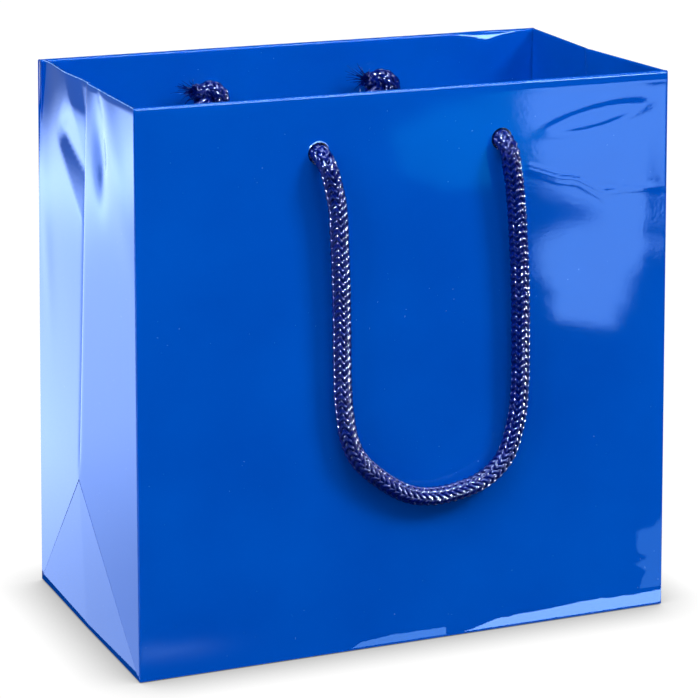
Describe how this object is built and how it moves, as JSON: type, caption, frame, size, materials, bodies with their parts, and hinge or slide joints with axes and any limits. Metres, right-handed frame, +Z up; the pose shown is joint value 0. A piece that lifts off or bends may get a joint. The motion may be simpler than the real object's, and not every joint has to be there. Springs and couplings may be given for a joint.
{
  "type": "gift bag",
  "caption": "Glossy blue laminated-paper gift bag with gusseted sides, a stiffened rim, a base board and knitted cord handles knotted through punched holes.",
  "frame": {"origin": "centre of the base's underside, on the ground", "axes": "+Z up; the front wall faces -Y; +X is to the right of somebody who faces the front wall"},
  "size_m": [0.165, 0.102, 0.161],
  "materials": {
    "gloss_blue_paper": "gloss film laminate",
    "white_paper": "uncoated",
    "greyboard": "matte",
    "knitted_cord": "shiny filament yarn"
  },
  "bodies": {
    "base": {"bottom_front_flap": "gloss_blue_paper", "bottom_rear_flap": "white_paper", "bottom_left_flap": "white_paper", "bottom_right_flap": "white_paper", "base_board": "greyboard"},
    "front_wall": {"front_panel": "gloss_blue_paper", "front_rim_board": "greyboard", "front_hem": "gloss_blue_paper", "front_knot_left": "knitted_cord", "front_knot_right": "knitted_cord", "front_cord_stub_left": "knitted_cord", "front_cord_stub_right": "knitted_cord"},
    "front_handle": {"front_handle_cord": "knitted_cord"},
    "rear_wall": {"rear_panel": "gloss_blue_paper", "rear_rim_board": "greyboard", "rear_hem": "gloss_blue_paper", "rear_knot_left": "knitted_cord", "rear_knot_right": "knitted_cord", "rear_cord_stub_left": "knitted_cord", "rear_cord_stub_right": "knitted_cord"},
    "rear_handle": {"rear_handle_cord": "knitted_cord"},
    "left_front_gusset_half": {"left_front_gusset": "gloss_blue_paper", "left_front_gusset_hem": "gloss_blue_paper"},
    "left_rear_gusset_half": {"left_rear_gusset": "gloss_blue_paper", "left_rear_gusset_hem": "gloss_blue_paper"},
    "left_base_fold": {"left_base_triangle": "gloss_blue_paper"},
    "right_front_gusset_half": {"right_front_gusset": "gloss_blue_paper", "right_front_gusset_hem": "gloss_blue_paper"},
    "right_rear_gusset_half": {"right_rear_gusset": "gloss_blue_paper", "right_rear_gusset_hem": "gloss_blue_paper", "side_seam_flap": "white_paper"},
    "right_base_fold": {"right_base_triangle": "gloss_blue_paper"}
  },
  "joints": [
    {"name": "front_wall_lean", "type": "hinge", "parent": "base", "child": "front_wall", "pos_m": [0, -0.046, 0], "axis": [-1, 0, 0], "range_deg": [0, 10], "stiffness_Nm_per_rad": 0.03, "springref_deg": -5.73},
    {"name": "rear_wall_lean", "type": "hinge", "parent": "base", "child": "rear_wall", "pos_m": [0, 0.046, 0], "axis": [1, 0, 0], "range_deg": [0, 10], "stiffness_Nm_per_rad": 0.03, "springref_deg": -5.73},
    {"name": "left_front_gusset_fold", "type": "hinge", "parent": "front_wall", "child": "left_front_gusset_half", "pos_m": [-0.0825, -0.046, 0], "axis": [-0.0124, -0.0186, -0.9997], "range_deg": [0, 76], "deforming": ["left_front_gusset", "left_front_gusset_hem"]},
    {"name": "left_rear_gusset_fold", "type": "hinge", "parent": "rear_wall", "child": "left_rear_gusset_half", "pos_m": [-0.0825, 0.046, 0], "axis": [0.0124, -0.0186, 0.9997], "range_deg": [0, 76], "deforming": ["left_rear_gusset", "left_rear_gusset_hem"]},
    {"name": "left_base_triangle_fold", "type": "hinge", "parent": "base", "child": "left_base_fold", "pos_m": [-0.0825, 0, 0], "axis": [0, 1, 0], "range_deg": [0, 32.6], "deforming": ["left_base_triangle"]},
    {"name": "right_front_gusset_fold", "type": "hinge", "parent": "front_wall", "child": "right_front_gusset_half", "pos_m": [0.0825, -0.046, 0], "axis": [-0.0124, 0.0186, 0.9997], "range_deg": [0, 76], "deforming": ["right_front_gusset", "right_front_gusset_hem"]},
    {"name": "right_rear_gusset_fold", "type": "hinge", "parent": "rear_wall", "child": "right_rear_gusset_half", "pos_m": [0.0825, 0.046, 0], "axis": [0.0124, 0.0186, -0.9997], "range_deg": [0, 76], "deforming": ["right_rear_gusset", "right_rear_gusset_hem", "side_seam_flap"]},
    {"name": "right_base_triangle_fold", "type": "hinge", "parent": "base", "child": "right_base_fold", "pos_m": [0.0825, 0, 0], "axis": [0, -1, 0], "range_deg": [0, 32.6], "deforming": ["right_base_triangle"]},
    {"name": "front_handle_swing", "type": "hinge", "parent": "front_wall", "child": "front_handle", "pos_m": [0, -0.0483, 0.1451], "axis": [-1, 0, 0], "range_deg": [0, 180]},
    {"name": "rear_handle_swing", "type": "hinge", "parent": "rear_wall", "child": "rear_handle", "pos_m": [0, 0.0483, 0.1451], "axis": [1, 0, 0], "range_deg": [0, 180]}
  ],
  "couplings": [
    {"joint": "rear_wall_lean", "follows": "front_wall_lean", "ratio": 1},
    {"joint": "left_front_gusset_fold", "follows": "front_wall_lean", "ratio": 7.6},
    {"joint": "left_rear_gusset_fold", "follows": "front_wall_lean", "ratio": 7.6},
    {"joint": "left_base_triangle_fold", "follows": "front_wall_lean", "ratio": 3.26},
    {"joint": "right_front_gusset_fold", "follows": "front_wall_lean", "ratio": 7.6},
    {"joint": "right_rear_gusset_fold", "follows": "front_wall_lean", "ratio": 7.6},
    {"joint": "right_base_triangle_fold", "follows": "front_wall_lean", "ratio": 3.26}
  ]
}
